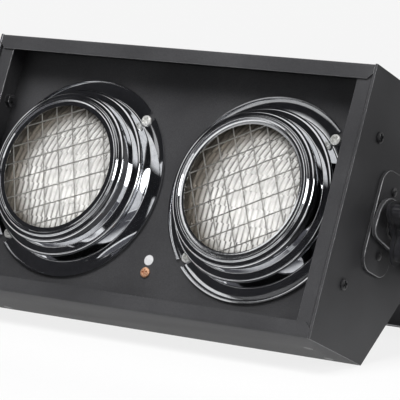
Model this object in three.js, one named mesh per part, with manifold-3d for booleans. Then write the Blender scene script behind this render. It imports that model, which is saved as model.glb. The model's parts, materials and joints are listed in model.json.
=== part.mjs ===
// An audience blinder light: two sealed-beam lamps side by side, each in a stepped chrome bezel
// behind a wire guard, in a folded sheet-steel housing that tilts in a flat-bar yoke.
// Millimetres. The housing is drawn upright: X across, Y from the front plane to the back, Z up
// from its floor. The whole part then leans back until it stands on the rear edge of its floor
// and on the yoke's cross bar.
import * as THREE from "three";
import { mergeVertices } from "three/addons/utils/BufferGeometryUtils.js";
import Module from "manifold-3d";

const wasm = await Module();
wasm.setup();

// Driving sizes

const degree = Math.PI / 180;

const fit = {
  seat: 0.3, // gap between two faces that meet
  hole: 0.4, // radial gap of a shank in its hole
  overrun: 6, // how far a cutting tool runs past the face it cuts
};

const lamp = {
  radius: 57.15, // a sealed beam of 4 1/2 inches
  rim: 3, // thickness of the glass front and of the flat rim behind it
  rimWidth: 3,
  crown: 1.1,
  wall: 1.6,
  bowl: 50,
  neck: 14,
  neckLength: 8,
  base: 12,
  baseLength: 4,
  post: 2.5,
  postLength: 4,
  postSpacing: 14,
};

const bezel = {
  wall: 1,
  lip: 4.65, // how far it covers the edge of the lamp
  slack: 1.45, // lamp's edge to the inside of the front bead
  beadWidth: 2.4,
  beadHeight: 1,
  firstLedge: 5,
  firstSet: 2.2,
  secondLedge: 7.4,
  secondSet: 15.8,
  flange: 13.2,
  height: 32, // flange to the crest of the front bead
  curl: 1.8,
  shoulder: 2.4,
  screwSet: 4.9, // foot of the second step to the centre of a screw
  notch: 2.8,
  bore: 4.4, // first ledge to the edge of the hole in the panel
  gap: 12.2, // between the rims of the two flanges
};

const keeper = { thickness: 1.2, clearance: 0.8 };

const guard = {
  wire: 1.3,
  sink: 0.2, // how far the two layers of wire are welded into each other, in wires
  ringWire: 2.2,
  ringSet: 2.7, // edge of the mouth to the border ring behind the lip
  pitch: 14.8,
  pairs: 3,
};
const guardTurns = { left: 20 * degree, right: 26 * degree };

const housing = {
  sideMargin: 9.5, // rim of a bezel to the outer face beside it
  headroom: 24.3, // rim of a bezel to the roof and to the floor
  floorDepth: 82, // front plane to the bend where the back starts to slope
  backDepth: 122.5,
  backHeight: 83,
  wall: 1.5,
  sidePlate: 2,
  bend: 2.5, // outer radius of a folded edge
  lip: 12.5,
  lipChamfer: 4.5,
  sideFlange: 16, // outer face of the side to the inner edge of the frame beside the lamps
  recess: 33, // front plane to the lamp panel
  panelFold: 18,
  coverFold: 14,
};

const vent = { count: 6, pitch: 14, width: 4.5, height: 56 };

const bezelScrew = { head: 4.5, headHeight: 3, shank: 1.9, length: 9 };
const earthScrew = { head: 4.2, headHeight: 2.4, shank: 2, length: 9, height: 38.5 };
const sideBolt = { head: 4.6, headHeight: 2.4, shank: 2.5, length: 11, spread: 59, set: 5.5 };
const clinchNut = { radius: 5.4, length: 4 };
const flushScrew = { head: 4.2, shank: 1.8, length: 7, inset: 25 };

const pivot = {
  set: 64, // front plane to the tilt axis
  plateSet: 62.5, // front plane to the middle of the plate and its rivets
  plateWidth: 40,
  plateHeight: 82,
  plate: 3,
  plateCorner: 13,
  rivet: 3.6,
  rivetHeight: 1.5,
  rivetShank: 1.8,
  rivetSpread: 26,
  bolt: 5,
  boltHead: 9,
  boltHeadHeight: 4,
  boltGrip: 16, // length of bolt inside the knob
  fibreRadius: 14,
  fibre: 1.5,
  washerRadius: 12,
  washer: 2,
};

const yoke = {
  width: 36,
  thickness: 4,
  reach: 190, // tilt axis to the inner face of the cross bar
  tip: 24, // tilt axis to the tip of an arm
  upperCorner: 16,
  lowerCorner: 9,
  bend: 12,
  drop: 7.6 * degree, // angle of the arms below the housing's depth axis
  clampHole: 6.5,
  sideHole: 4.3,
  sideHoleSpread: 60,
};

const knob = {
  lobes: 4,
  tip: 34,
  waist: 20,
  thickness: 17,
  bevel: 2.5,
  boss: 10.5,
  bossLength: 6,
  turn: -12 * degree,
};

const gland = {
  drop: 21.5, // middle of the back to the centre of the cable entry
  thread: 8,
  threadLength: 8,
  hex: 12,
  hexLength: 6,
  nutLength: 3,
  cap: 10.5,
  capMouth: 7.5,
  capLength: 12,
  capStraight: 7.2,
  bore: 5,
};

const terminalBlock = { width: 44, depth: 14, base: 6, height: 15, pitch: 10, tower: 3.6, well: 2.1 };
const lead = { radius: 1.8, rise: 14, climb: 28, approach: 22, sag: 16, steps: 10, sides: 6 };

const facets = { wire: 4, hole: 8, screw: 8, shaft: 12, washer: 16, lobe: 7, lens: 18, bezel: 24 };

// Places worked out from the sizes, first those of a lamp and its bezel

const mouthRadius = lamp.radius - bezel.lip;
const beadRadius = lamp.radius + bezel.slack + bezel.wall;
const firstRadius = beadRadius + bezel.firstLedge;
const secondRadius = firstRadius + bezel.secondLedge;
const flangeRadius = secondRadius + bezel.flange;
const lampX = flangeRadius + bezel.gap / 2;
const flangeBack = housing.recess - fit.seat;
const flangeFront = flangeBack - bezel.wall;
const bezelFront = flangeFront - bezel.height;
const lipFront = bezelFront + bezel.beadHeight;
const guardFront = lipFront + bezel.wall + fit.seat;
const guardBack = guardFront + (2 - guard.sink) * guard.wire;
const lensFront = guardBack + fit.seat + lamp.crown;
const reflectorFront = lensFront + lamp.rim + fit.seat;
const rimBack = reflectorFront + lamp.rim;
const bowlRadius = lamp.radius - lamp.rimWidth;
const lampBack = rimBack + lamp.bowl + lamp.neckLength;
const baseFront = lampBack + fit.seat;
const postBack = baseFront + lamp.baseLength + lamp.postLength;

// Those of the housing

const width = 2 * (lampX + flangeRadius + housing.sideMargin);
const height = 2 * (flangeRadius + housing.headroom);
const middle = height / 2;
const slopeRise = (height - housing.backHeight) / 2;
const slopeRun = housing.backDepth - housing.floorDepth;
const nested = housing.wall + fit.seat; // outer face of a sheet to one that lies inside it
const sideOuter = width / 2;
const endOuter = sideOuter - housing.sidePlate - fit.seat;
const endInner = endOuter - housing.wall;
const panelHalf = endInner - fit.seat;
const coverFront = housing.floorDepth - housing.coverFold;
const panelFoldBack = housing.recess + housing.panelFold;
const entryHeight = middle - gland.drop;

// Those of the stack on the tilt axis, outwards from the side

const plateInner = sideOuter + fit.seat;
const plateOuter = plateInner + pivot.plate;
const fibreInner = plateOuter + fit.seat;
const armInner = fibreInner + pivot.fibre + fit.seat;
const armOuter = armInner + yoke.thickness;
const washerInner = armOuter + fit.seat;
const knobInner = washerInner + pivot.washer + fit.seat;

// Paths and sections

// A path through corners [a, b, radius], with an arc at each corner that has a radius.
function rounded(corners, steps) {
  return corners.flatMap(([a, b, radius = 0], i) => {
    const here = new THREE.Vector2(a, b);
    if (!radius || i === 0 || i === corners.length - 1) return [here];
    const back = new THREE.Vector2(...corners[i - 1]).sub(here).normalize();
    const on = new THREE.Vector2(...corners[i + 1]).sub(here).normalize();
    const half = back.angleTo(on) / 2;
    const centre = back.clone().add(on).setLength(radius / Math.sin(half)).add(here);
    const start = back.multiplyScalar(radius / Math.tan(half)).add(here).sub(centre);
    const end = on.multiplyScalar(radius / Math.tan(half)).add(here).sub(centre);
    const sweep = Math.atan2(start.cross(end), start.dot(end));
    const origin = new THREE.Vector2();
    const arc = (k) => start.clone().rotateAround(origin, (sweep * k) / steps).add(centre);
    return Array.from({ length: steps + 1 }, (_, k) => arc(k));
  });
}

// The path moved to its left by a distance, with mitred corners.
function offset(path, distance, closed = false) {
  const last = path.length - 1;
  return path.map((point, i) => {
    const before = i > 0 ? path[i - 1] : closed && path[last];
    const after = i < last ? path[i + 1] : closed && path[0];
    const along = [];
    if (before) along.push(point.clone().sub(before));
    if (after) along.push(after.clone().sub(point));
    const normals = along.map((d) => new THREE.Vector2(-d.y, d.x).normalize());
    const mitre = new THREE.Vector2();
    normals.forEach((normal) => mitre.add(normal));
    mitre.normalize();
    return mitre.multiplyScalar(distance / mitre.dot(normals[0])).add(point);
  });
}

// The closed section of a sheet: one face follows the corners, the wall lies to their left.
function sheetSection(corners, wall, steps = 2) {
  const face = rounded(corners, steps);
  return [...face, ...offset(face, wall).reverse()];
}

function rectangle(wide, tall, corner) {
  const [a, b] = [wide / 2 - corner, tall / 2 - corner];
  const centres = [[a, b], [-a, b], [-a, -b], [a, -b]];
  const shape = new THREE.Shape();
  centres.forEach(([x, y], i) => shape.absarc(x, y, corner, i * 90 * degree, (i + 1) * 90 * degree));
  return shape;
}

// Solids

const acrossBasis = new THREE.Matrix4().makeBasis(
  new THREE.Vector3(0, 1, 0),
  new THREE.Vector3(0, 0, 1),
  new THREE.Vector3(1, 0, 0),
);

function extrude(shape, depth, curveSegments = 4) {
  return new THREE.ExtrudeGeometry(shape, { depth, curveSegments, bevelEnabled: false });
}

// A shape drawn in (Y, Z), standing from x to x + length.
function across(shape, x, length, arcSteps) {
  return extrude(shape, length, arcSteps).applyMatrix4(acrossBasis).translate(x, 0, 0);
}

// A shape drawn in (X, Z), standing from y to y + length.
function inward(shape, y, length, arcSteps) {
  return extrude(shape, length, arcSteps).rotateX(90 * degree).translate(0, y + length, 0);
}

// A profile of [radius, y] points turned about the Y axis.
function turned(profile, segments) {
  return new THREE.LatheGeometry(profile.map((p) => new THREE.Vector2(...p)), segments);
}

// A rod along Y from y to y + length.
function rod(radius, y, length, segments = facets.hole) {
  return new THREE.CylinderGeometry(radius, radius, length, segments).translate(0, y + length / 2, 0);
}

function ring(bore, radius, y, length, segments) {
  return turned([[bore, y], [radius, y], [radius, y + length], [bore, y + length], [bore, y]], segments);
}

// Work along Y turned so that its +Y end points to +X, -X, +Z or -Z.
const toRight = (geometry) => geometry.rotateZ(-90 * degree);
const toLeft = (geometry) => geometry.rotateZ(90 * degree);
const toRoof = (geometry) => geometry.rotateX(90 * degree);
const toFloor = (geometry) => geometry.rotateX(-90 * degree);

function solidOf(geometry) {
  const bare = geometry.index ? geometry.toNonIndexed() : geometry.clone();
  bare.deleteAttribute("normal");
  bare.deleteAttribute("uv");
  const merged = mergeVertices(bare);
  return new wasm.Manifold(
    new wasm.Mesh({
      numProp: 3,
      vertProperties: merged.attributes.position.array,
      triVerts: Uint32Array.from(merged.index.array),
    }),
  );
}

function geometryOf(solid) {
  const { vertProperties, triVerts } = solid.getMesh();
  const geometry = new THREE.BufferGeometry()
    .setAttribute("position", new THREE.BufferAttribute(vertProperties, 3))
    .setIndex(new THREE.BufferAttribute(triVerts, 1))
    .toNonIndexed();
  geometry.computeVertexNormals();
  return geometry;
}

function combine(operation, first, others) {
  return geometryOf(others.reduce((made, next) => made[operation](solidOf(next)), solidOf(first)));
}

const join = (first, ...others) => combine("add", first, others);
const cut = (first, ...others) => combine("subtract", first, others);
const common = (first, ...others) => combine("intersect", first, others);

// Housing sheets

function sideOutline() {
  const lower = [[0, 0], [housing.floorDepth, 0], [housing.backDepth, slopeRise]];
  const upper = lower.map(([y, z]) => [y, height - z]).reverse();
  return [...lower, ...upper].map(([y, z]) => new THREE.Vector2(y, z));
}

const sideBoltPlaces = [-1, 1].map((end) => [
  housing.recess - sideBolt.set,
  middle + end * sideBolt.spread,
]);
const rivetPlaces = [-1, 1].map((end) => [pivot.plateSet, middle + end * pivot.rivetSpread]);

// Drills along X, from x outwards, for the bolts, rivets and tilt bolt of one side.
function sideDrills(x, length) {
  const drill = ([y, z], radius, segments) =>
    toRight(rod(radius + fit.hole, 0, length, segments)).translate(x, y, z);
  return [
    ...sideBoltPlaces.map((place) => drill(place, sideBolt.shank)),
    ...rivetPlaces.map((place) => drill(place, pivot.rivetShank)),
    drill([pivot.set, middle], pivot.bolt, facets.shaft),
  ];
}

function sidePanel() {
  const plate = across(new THREE.Shape(sideOutline()), sideOuter - housing.sidePlate, housing.sidePlate);
  return cut(plate, ...sideDrills(endOuter - fit.overrun, housing.sidePlate + 2 * fit.overrun));
}

// The inner end plate: a cheek whose front edge is folded in as the frame beside the lamps.
function endPlate() {
  const inset = 2 * nested;
  const foldEnd = nested + 2 * housing.bend;
  const points = offset(sideOutline(), inset, true);
  points[0].x = foldEnd;
  points[points.length - 1].x = foldEnd;
  const cheek = across(new THREE.Shape(points), endInner, housing.wall);
  const corners = [
    [endOuter, foldEnd + housing.bend],
    [endOuter, nested, housing.bend],
    [sideOuter - housing.sideFlange, nested],
  ];
  const section = new THREE.Shape(sheetSection(corners, -housing.wall, 3));
  const fold = extrude(section, height - 2 * inset).translate(0, 0, inset);
  const nuts = sideBoltPlaces.map(([y, z]) => {
    const nut = rod(clinchNut.radius, -clinchNut.length, clinchNut.length + housing.wall / 2, 6);
    return toRight(nut).translate(endInner, y, z);
  });
  const start = endInner - clinchNut.length - fit.overrun;
  return cut(join(cheek, fold, ...nuts), ...sideDrills(start, endOuter - start + fit.overrun));
}

// Flush screws hold the folds of the lamp panel and of the rear cover to roof and floor.
const flushScrewX = sideOuter - flushScrew.inset;
const flushScrewRows = {
  front: housing.recess + housing.panelFold / 2,
  rear: coverFront + housing.coverFold / 2,
};
const flushScrewPoints = Object.values(flushScrewRows).flatMap((y) => [
  [-flushScrewX, y],
  [flushScrewX, y],
]);

// The roof and its front lip. Turned upside down it is also the floor.
function roofShell() {
  const { lip, bend, floorDepth, wall, lipChamfer } = housing;
  const section = sheetSection([[0, height - lip], [0, height, bend], [floorDepth, height]], -wall);
  const shell = across(new THREE.Shape(section), -endOuter, 2 * endOuter);
  const wedgeShares = [[-2, -1], [1, -1], [1, 2]];
  const corners = [-1, 1].map((side) => {
    const wedge = wedgeShares.map(
      ([x, z]) => new THREE.Vector2(side * (endOuter + x * lipChamfer), height - lip + z * lipChamfer),
    );
    return inward(new THREE.Shape(wedge), -fit.overrun, 2 * fit.overrun);
  });
  const sink = [
    [0, -fit.overrun],
    [flushScrew.head + fit.hole, -fit.overrun],
    [flushScrew.head + fit.hole, 0],
    [flushScrew.shank + fit.hole, wall],
    [flushScrew.shank + fit.hole, fit.overrun],
    [0, fit.overrun],
  ];
  const bit = turned(sink, facets.screw);
  const sinks = flushScrewPoints.map(([x, y]) => toFloor(bit.clone()).translate(x, y, height));
  return cut(shell, ...corners, ...sinks);
}

// Screw holes through the folds that lie just inside the roof and the floor.
function foldDrills() {
  const length = height + 2 * fit.overrun;
  return flushScrewPoints.map(([x, y]) =>
    toRoof(rod(flushScrew.shank + fit.hole, -fit.overrun, length)).translate(x, y, 0),
  );
}

function ventSlots() {
  const slot = rectangle(vent.width, vent.height, vent.width / 2);
  const steps = Array.from({ length: vent.count }, (_, i) => (i - (vent.count - 1) / 2) * vent.pitch);
  const places = [-lampX, lampX].flatMap((x) => steps.map((step) => x + step));
  return places.map((x) =>
    inward(slot, housing.backDepth - fit.overrun, 2 * fit.overrun, 1).translate(x, 0, middle),
  );
}

function rearCover() {
  const { backDepth, floorDepth, bend, wall } = housing;
  const slopeStart = floorDepth + (slopeRun * nested) / slopeRise;
  const lower = [
    [coverFront, nested],
    [slopeStart, nested, bend],
    [backDepth, slopeRise, bend],
  ];
  const upper = lower.map(([y, z, radius]) => [y, height - z, radius]).reverse();
  const section = new THREE.Shape(sheetSection([...lower, ...upper], wall));
  const sheet = across(section, -endOuter, 2 * endOuter);
  const start = backDepth - fit.overrun;
  const entry = rod(gland.thread + fit.hole, start, 2 * fit.overrun, facets.shaft);
  return cut(sheet, ...ventSlots(), entry.translate(0, 0, entryHeight), ...foldDrills());
}

const screwReach = (secondRadius + bezel.screwSet) / Math.SQRT2;
const bezelScrewPlaces = { lower: [-screwReach, -screwReach], upper: [screwReach, screwReach] };

function lampPanel() {
  const { recess, bend, wall } = housing;
  const section = sheetSection(
    [
      [panelFoldBack, nested],
      [recess, nested, bend],
      [recess, height - nested, bend],
      [panelFoldBack, height - nested],
    ],
    -wall,
  );
  const sheet = across(new THREE.Shape(section), -panelHalf, 2 * panelHalf);
  const bore = (radius, x, z, segments) =>
    rod(radius, recess - fit.overrun, wall + 2 * fit.overrun, segments).translate(x, 0, z);
  const bores = [-lampX, lampX].flatMap((x) => [
    bore(firstRadius + bezel.bore, x, middle, facets.bezel),
    ...Object.values(bezelScrewPlaces).map(([dx, dz]) =>
      bore(bezelScrew.shank + fit.hole, x + dx, middle + dz),
    ),
  ]);
  const earthBore = bore(earthScrew.shank + fit.hole, 0, earthScrew.height);
  return cut(sheet, ...bores, earthBore, ...foldDrills());
}

// Bezels, guards and lamps, drawn about the lamp's axis

// A spun sheet: front bead round the mouth, two steps back, flat flange with a curled rim.
function bezelRing() {
  const { beadWidth, beadHeight, firstSet, secondSet, curl, shoulder, wall, notch } = bezel;
  const corners = [
    [mouthRadius, beadHeight],
    [beadRadius - beadWidth - beadHeight, beadHeight],
    [beadRadius - beadWidth, 0],
    [beadRadius, 0],
    [beadRadius, firstSet],
    [firstRadius, firstSet, shoulder],
    [firstRadius, secondSet],
    [secondRadius, secondSet, shoulder],
    [secondRadius, bezel.height],
    [flangeRadius - wall, bezel.height],
    [flangeRadius - wall, bezel.height - curl],
  ];
  const profile = sheetSection(corners, wall, 1).map((p) => [p.x, p.y]);
  const spun = turned([...profile, profile[0]], facets.bezel).translate(0, bezelFront, 0);
  const keyholes = Object.values(bezelScrewPlaces).map(([x, z]) => {
    const round = rod(notch, -fit.overrun, 2 * fit.overrun);
    const open = new THREE.BoxGeometry(bezel.flange, 2 * fit.overrun, 2 * notch);
    const keyhole = join(round, open.translate(bezel.flange / 2, 0, 0));
    return keyhole.rotateY(-Math.atan2(z, x)).translate(x, flangeFront, z);
  });
  return cut(spun, ...keyholes);
}

// A welded grid of two crossing layers of wire on a border ring, held behind the bezel's lip.
function wireGuard() {
  const { wire, ringWire, ringSet, pitch, pairs } = guard;
  const ringRadius = mouthRadius + ringSet;
  const layers = [guardFront + wire / 2, guardBack - wire / 2];
  const wires = layers.flatMap((y, layer) =>
    Array.from({ length: 2 * pairs + 1 }, (_, i) => {
      const aside = (i - pairs) * pitch;
      const half = Math.sqrt(ringRadius ** 2 - aside ** 2);
      const bar = rod(wire / 2, -half, 2 * half, facets.wire);
      toRight(bar).translate(0, y, aside);
      return layer ? bar.rotateY(90 * degree) : bar;
    }),
  );
  const border = new THREE.TorusGeometry(ringRadius, ringWire / 2, facets.wire, facets.bezel);
  return join(border.rotateX(90 * degree).translate(0, (guardFront + guardBack) / 2, 0), ...wires);
}

// The pressed glass front, proud in the middle.
function lampLens() {
  const domeShares = [0, 0.4, 0.75, 1];
  const dome = domeShares.map((share) => [
    share * mouthRadius,
    lensFront - lamp.crown * (1 - share ** 2),
  ]);
  const back = lensFront + lamp.rim;
  return turned([...dome, [lamp.radius, lensFront], [lamp.radius, back], [0, back]], facets.lens);
}

// The bowl behind it: a paraboloid with a flat rim and a solid neck.
function lampReflector() {
  const { radius, wall, bowl, neck } = lamp;
  const inner = bowlRadius - wall;
  const insideShares = [0, 0.45, 0.8, 1];
  const outsideShares = [1, 0.8, 0.5];
  const bowlAt = (start, share) => start + bowl * (1 - share ** 2);
  const inside = insideShares.map((share) => [share * inner, bowlAt(reflectorFront, share)]);
  const outside = outsideShares.map((share) => [share * bowlRadius, bowlAt(rimBack, share)]);
  const rim = [[radius, reflectorFront], [radius, rimBack]];
  const tail = [[neck, bowlAt(rimBack, neck / bowlRadius)], [neck, lampBack], [0, lampBack]];
  return turned([...inside, ...rim, ...outside, ...tail], facets.lens);
}

function lampBase() {
  const posts = [-1, 1].map((side) => {
    const start = baseFront + lamp.baseLength / 2;
    return rod(lamp.post, start, postBack - start).translate((side * lamp.postSpacing) / 2, 0, 0);
  });
  return join(rod(lamp.base, baseFront, lamp.baseLength, facets.shaft), ...posts);
}

// The sheet ring that holds the lamp's rim from behind, inside the bezel's first step.
function lampKeeper() {
  const outer = firstRadius - bezel.wall - fit.seat;
  const bore = bowlRadius + keeper.clearance;
  return ring(bore, outer, rimBack + fit.seat, keeper.thickness, facets.bezel);
}

// Fasteners, drawn along Y with the seat of the head at y = 0 and the shank to +Y

function panScrew({ head, headHeight, shank, length }) {
  const crownShares = [[0, -1], [0.7, -0.8], [1, -0.3], [1, 0]];
  const crown = crownShares.map(([out, up]) => [out * head, up * headHeight]);
  return turned([...crown, [shank, 0], [shank, length], [0, length]], facets.screw);
}

function sunkScrew({ head, shank, length }) {
  const profile = [[0, 0], [head, 0], [shank, housing.wall], [shank, length], [0, length]];
  return turned(profile, facets.screw);
}

// A domed rivet with its formed tail inside the end plate.
function pivotRivet() {
  const { rivet, rivetHeight, rivetShank } = pivot;
  const grip = plateOuter + fit.seat - (endInner - fit.seat);
  const tail = rivetShank + fit.hole + rivetHeight / 2;
  const domeShares = [[0, -1], [0.6, -0.75], [1, 0]];
  const dome = domeShares.map(([out, up]) => [out * rivet, up * rivetHeight]);
  const shank = [[rivetShank, 0], [rivetShank, grip], [tail, grip], [0, grip + rivetHeight]];
  return turned([...dome, ...shank], facets.screw);
}

function tiltBolt() {
  const { bolt, boltHead, boltHeadHeight, boltGrip } = pivot;
  const start = -boltHeadHeight / 2;
  const end = knobInner + boltGrip - (endInner - fit.seat);
  const head = rod(boltHead, -boltHeadHeight, boltHeadHeight, 6);
  return join(head, rod(bolt, start, end - start, facets.shaft));
}

// Pivot parts and yoke

function pivotPlate() {
  const outline = rectangle(pivot.plateWidth, pivot.plateHeight, pivot.plateCorner);
  const plate = across(outline, plateInner, pivot.plate).translate(0, pivot.plateSet, middle);
  return cut(plate, ...sideDrills(sideOuter - fit.overrun, pivot.plate + 2 * fit.overrun));
}

function pivotRing(radius, thickness) {
  return toRight(ring(pivot.bolt + fit.hole, radius, 0, thickness, facets.washer));
}

// A lobed knob with a boss towards the arm and a blind bore for the tilt bolt.
function tiltKnob() {
  const { lobes, tip, waist, thickness, bevel, boss, bossLength, turn } = knob;
  const count = facets.lobe * lobes;
  const outline = Array.from({ length: count }, (_, i) => {
    const angle = (i / count) * 360 * degree;
    const lobe = ((1 + Math.cos(lobes * (angle - turn))) / 2) ** 1.5;
    const reach = waist + (tip - waist) * lobe - bevel;
    return new THREE.Vector2(reach * Math.cos(angle), reach * Math.sin(angle));
  });
  const body = new THREE.ExtrudeGeometry(new THREE.Shape(outline), {
    depth: thickness - 2 * bevel,
    bevelThickness: bevel,
    bevelSize: bevel,
    bevelSegments: 2,
  });
  body.applyMatrix4(acrossBasis).translate(bossLength + bevel, 0, 0);
  const collar = toRight(rod(boss, 0, bossLength + thickness / 2, facets.washer));
  const depth = pivot.boltGrip + fit.seat;
  const bore = rod(pivot.bolt + fit.hole, -fit.overrun, fit.overrun + depth, facets.shaft);
  return cut(join(body, collar), toRight(bore));
}

// One flat bar bent to a U, its arms along Y, drawn about the tilt axis.
function yokeBar() {
  const { thickness, reach, tip, bend, clampHole, sideHole, sideHoleSpread } = yoke;
  const half = yoke.width / 2;
  const beyond = armOuter + fit.overrun;
  const path = [
    [armInner, -tip],
    [armInner, reach, bend - thickness],
    [-armInner, reach, bend - thickness],
    [-armInner, -tip],
  ];
  const section = new THREE.Shape(sheetSection(path, -thickness, 4));
  const bent = extrude(section, 2 * half).translate(0, 0, -half);
  const back = reach + thickness + fit.overrun;
  const lower = [[back, -half], [-tip, -half, yoke.lowerCorner]];
  const tips = [...lower, [-tip, half, yoke.upperCorner], [back, half]];
  const envelope = across(new THREE.Shape(rounded(tips, 5)), -beyond, 2 * beyond);
  const pivotDrill = toRight(rod(pivot.bolt + fit.hole, -beyond, 2 * beyond, facets.shaft));
  const barDrill = (radius, x) =>
    rod(radius, reach - fit.overrun, thickness + 2 * fit.overrun, facets.shaft).translate(x, 0, 0);
  const outerDrills = [-sideHoleSpread, sideHoleSpread].map((x) => barDrill(sideHole, x));
  return cut(common(bent, envelope), pivotDrill, barDrill(clampHole, 0), ...outerDrills);
}

// Cable entry, drawn about its axis with y = 0 on the outer face of the rear cover

function glandBody() {
  const { thread, threadLength, hex, hexLength, capLength, bore } = gland;
  const reach = hexLength + capLength / 2;
  const screwed = rod(thread, -threadLength, threadLength + reach, facets.shaft);
  const solid = join(screwed, rod(hex, fit.seat, hexLength, 6));
  const start = -threadLength - fit.overrun;
  return cut(solid, rod(bore, start, reach + fit.overrun - start, facets.screw));
}

function glandCap() {
  const { thread, hexLength, cap, capMouth, capLength, capStraight, bore } = gland;
  const start = hexLength + 2 * fit.seat;
  const step = hexLength + capLength / 2 + fit.seat;
  const end = start + capLength;
  const socket = thread + fit.seat;
  const outside = [[socket, start], [cap, start], [cap, start + capStraight], [capMouth, end]];
  const inside = [[bore, end], [bore, step], [socket, step], [socket, start]];
  return turned([...outside, ...inside], facets.shaft);
}

function glandNut() {
  const { thread, hex, nutLength } = gland;
  const start = -housing.wall - fit.seat - nutLength;
  const length = nutLength + 2 * fit.overrun;
  const bore = rod(thread + fit.seat, start - fit.overrun, length, facets.shaft);
  return cut(rod(hex, start, nutLength, 6), bore);
}

// Wiring

const blockY = coverFront + housing.coverFold / 2;
const blockBase = 2 * nested;
const blockTop = blockBase + terminalBlock.height;
const poleShares = [-1.5, -0.5, 0.5, 1.5];

// A ceramic strip on the fold of the rear cover, with a tower and a screw well for each pole.
function terminalStrip() {
  const { width: long, depth, base, height: top, pitch, tower, well } = terminalBlock;
  const strip = new THREE.BoxGeometry(long, depth, base).translate(0, 0, base / 2);
  const onPoles = (radius, start) =>
    poleShares.map((share) => toRoof(rod(radius, start, top, 6)).translate(share * pitch, 0, 0));
  const solid = cut(join(strip, ...onPoles(tower, 0)), ...onPoles(well, base));
  return solid.translate(0, blockY, blockBase);
}

// A lead from a pole of the strip, up behind the lamp and on to one of its posts.
function lampLead(pole, postX) {
  const { radius, rise, climb, approach, sag, steps, sides } = lead;
  const start = new THREE.Vector3(pole * terminalBlock.pitch, blockY, blockTop + fit.seat);
  const end = new THREE.Vector3(postX, postBack + fit.seat, middle);
  const [awayShare, nearShare] = [0.3, 0.75];
  const between = (share, y, z) =>
    new THREE.Vector3(THREE.MathUtils.lerp(start.x, end.x, share), y, z);
  const route = [
    start,
    between(0, start.y, start.z + rise),
    between(awayShare, end.y + sag / 2, start.z + climb),
    between(nearShare, end.y + sag, end.z - approach),
    between(1, end.y + sag, end.z - rise / 4),
    between(1, end.y + sag / 2, end.z),
    end,
  ];
  const corners = Array.from({ length: sides }, (_, i) => {
    const angle = (i / sides) * 360 * degree;
    return new THREE.Vector2(radius * Math.cos(angle), radius * Math.sin(angle));
  });
  const extrudePath = new THREE.CatmullRomCurve3(route);
  return new THREE.ExtrudeGeometry(new THREE.Shape(corners), { steps, extrudePath });
}

// Assembly

const finishes = {
  coat: { color: 0x2b2b2d, roughness: 0.62, metalness: 0.1 },
  chrome: { color: 0xd9dbde, roughness: 0.06, metalness: 1 },
  steel: { color: 0xb9bbbd, roughness: 0.3, metalness: 1 },
  brass: { color: 0xb5834a, roughness: 0.32, metalness: 1 },
  glass: { color: 0xe9e6de, roughness: 0.12, metalness: 0, transparent: true, opacity: 0.5 },
  mirror: { color: 0xe4e2dc, roughness: 0.1, metalness: 1 },
  plastic: { color: 0x1b1b1d, roughness: 0.5, metalness: 0 },
  fibre: { color: 0x3a3632, roughness: 0.9, metalness: 0 },
  ceramic: { color: 0xd8d4c8, roughness: 0.6, metalness: 0 },
  sleeve: { color: 0xc9c4b6, roughness: 0.7, metalness: 0 },
};

function add(parent, name, geometry, finish, [x, y, z] = [0, 0, 0]) {
  const mesh = new THREE.Mesh(geometry, new THREE.MeshStandardMaterial(finishes[finish]));
  mesh.name = name;
  mesh.position.set(x, y, z);
  parent.add(mesh);
  return mesh;
}

function subgroup(parent, x, y, z) {
  const group = new THREE.Group();
  group.position.set(x, y, z);
  parent.add(group);
  return group;
}

const upright = new THREE.Group();

add(upright, "roof_shell", roofShell(), "coat");
add(upright, "floor_shell", roofShell().rotateY(180 * degree).translate(0, 0, height), "coat");
add(upright, "rear_cover", rearCover(), "coat");
add(upright, "lamp_panel", lampPanel(), "coat");

for (const [row, y] of Object.entries(flushScrewRows)) {
  for (const [side, x] of [["left", -flushScrewX], ["right", flushScrewX]]) {
    const [down, up] = [toFloor(sunkScrew(flushScrew)), toRoof(sunkScrew(flushScrew))];
    add(upright, `roof_screw_${row}_${side}`, down, "coat", [x, y, height]);
    add(upright, `floor_screw_${row}_${side}`, up, "coat", [x, y, 0]);
  }
}

for (const [side, x] of [["left", -lampX], ["right", lampX]]) {
  const unit = subgroup(upright, x, 0, middle);
  add(unit, `bezel_${side}`, bezelRing(), "chrome");
  add(unit, `wire_guard_${side}`, wireGuard(), "steel").rotation.y = -guardTurns[side];
  add(unit, `lamp_lens_${side}`, lampLens(), "glass");
  add(unit, `lamp_reflector_${side}`, lampReflector(), "mirror");
  add(unit, `lamp_base_${side}`, lampBase(), "ceramic");
  add(unit, `lamp_keeper_${side}`, lampKeeper(), "steel");
  for (const [level, [dx, dz]] of Object.entries(bezelScrewPlaces)) {
    const seat = [dx, flangeFront - fit.seat, dz];
    add(unit, `bezel_screw_${level}_${side}`, panScrew(bezelScrew), "chrome", seat);
  }
}

add(upright, "earth_screw", panScrew(earthScrew), "brass", [0, flangeBack, earthScrew.height]);

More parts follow.
